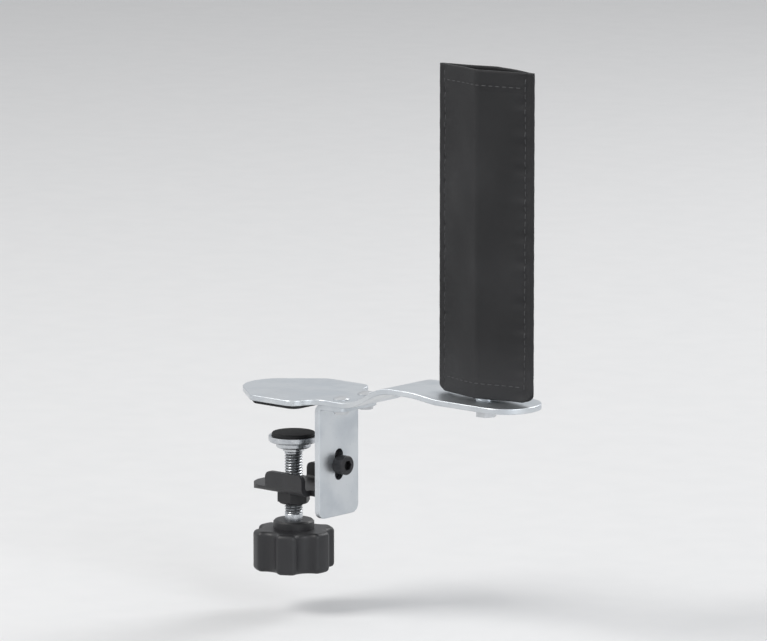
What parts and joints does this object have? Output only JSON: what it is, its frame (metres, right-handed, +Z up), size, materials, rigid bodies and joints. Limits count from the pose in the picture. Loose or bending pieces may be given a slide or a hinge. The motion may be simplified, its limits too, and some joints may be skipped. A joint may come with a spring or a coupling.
{
  "type": "table tennis net clamp",
  "caption": "Screw clamp for a table's edge with a T-shaped steel bracket, slotted strap, swivel pad, knob, post and black net-end sleeve.",
  "frame": {"origin": "centre of the upper jaw pad's lower face, on the table top's surface", "axes": "+X points outboard along the net line, +Y along the table, +Z up along the post"},
  "size_m": [0.1605, 0.052, 0.2328],
  "materials": {
    "zinc_plate": "satin bright zinc plating",
    "zinc_fastener": "zinc plated, slightly dull",
    "spring_steel": "dark spring steel",
    "black_oxide": "black oxide, semi-matt",
    "black_powder_coat": "fine-textured powder coat",
    "rubber_pad": "matt moulded rubber",
    "black_plastic": "moulded, lightly grained",
    "black_fabric": "tight plain weave, satin"
  },
  "bodies": {
    "bracket": {"bracket_plate": "zinc_plate", "front_strap": "zinc_plate", "strap_rivets": "zinc_fastener", "foot_pad": "rubber_pad", "post_tube": "zinc_plate", "post_plug": "zinc_fastener", "post_screw": "zinc_fastener", "post_washer": "zinc_fastener", "post_cap": "black_plastic"},
    "lower_jaw": {"lower_jaw": "black_powder_coat", "jaw_bolt": "black_oxide", "jaw_washer": "zinc_fastener", "jaw_nut": "zinc_fastener", "weld_nut": "black_powder_coat"},
    "thrust_washer": {"thrust_washer": "zinc_fastener"},
    "clamp_screw": {"clamp_screw": "zinc_fastener", "retaining_clip": "spring_steel", "knob": "black_plastic", "knob_cap": "black_plastic"},
    "swivel_pad": {"swivel_cup": "zinc_plate", "pressure_pad": "rubber_pad"},
    "net_sleeve": {"net_sleeve": "black_fabric"}
  },
  "joints": [
    {"name": "jaw_height", "type": "slide", "parent": "bracket", "child": "lower_jaw", "axis": [0, 0, 1], "range_m": [-0.004, 0.004]},
    {"name": "pad_travel", "type": "slide", "parent": "lower_jaw", "child": "thrust_washer", "axis": [0, 0, 1], "range_m": [-0.013, 0.006]},
    {"name": "screw_turn", "type": "hinge", "parent": "thrust_washer", "child": "clamp_screw", "pos_m": [0, 0, -0.024], "axis": [0, 0, 1], "range_deg": [-3745, 1729]},
    {"name": "pad_tilt", "type": "hinge", "parent": "thrust_washer", "child": "swivel_pad", "pos_m": [0, 0, -0.0222], "axis": [0, 1, 0], "range_deg": [-3.5, 3.5]},
    {"name": "sleeve_lift", "type": "slide", "parent": "bracket", "child": "net_sleeve", "axis": [0, 0, 1], "range_m": [0, 0.15]}
  ],
  "couplings": [
    {"joint": "screw_turn", "follows": "pad_travel", "rad_per_m": 5026.5}
  ]
}
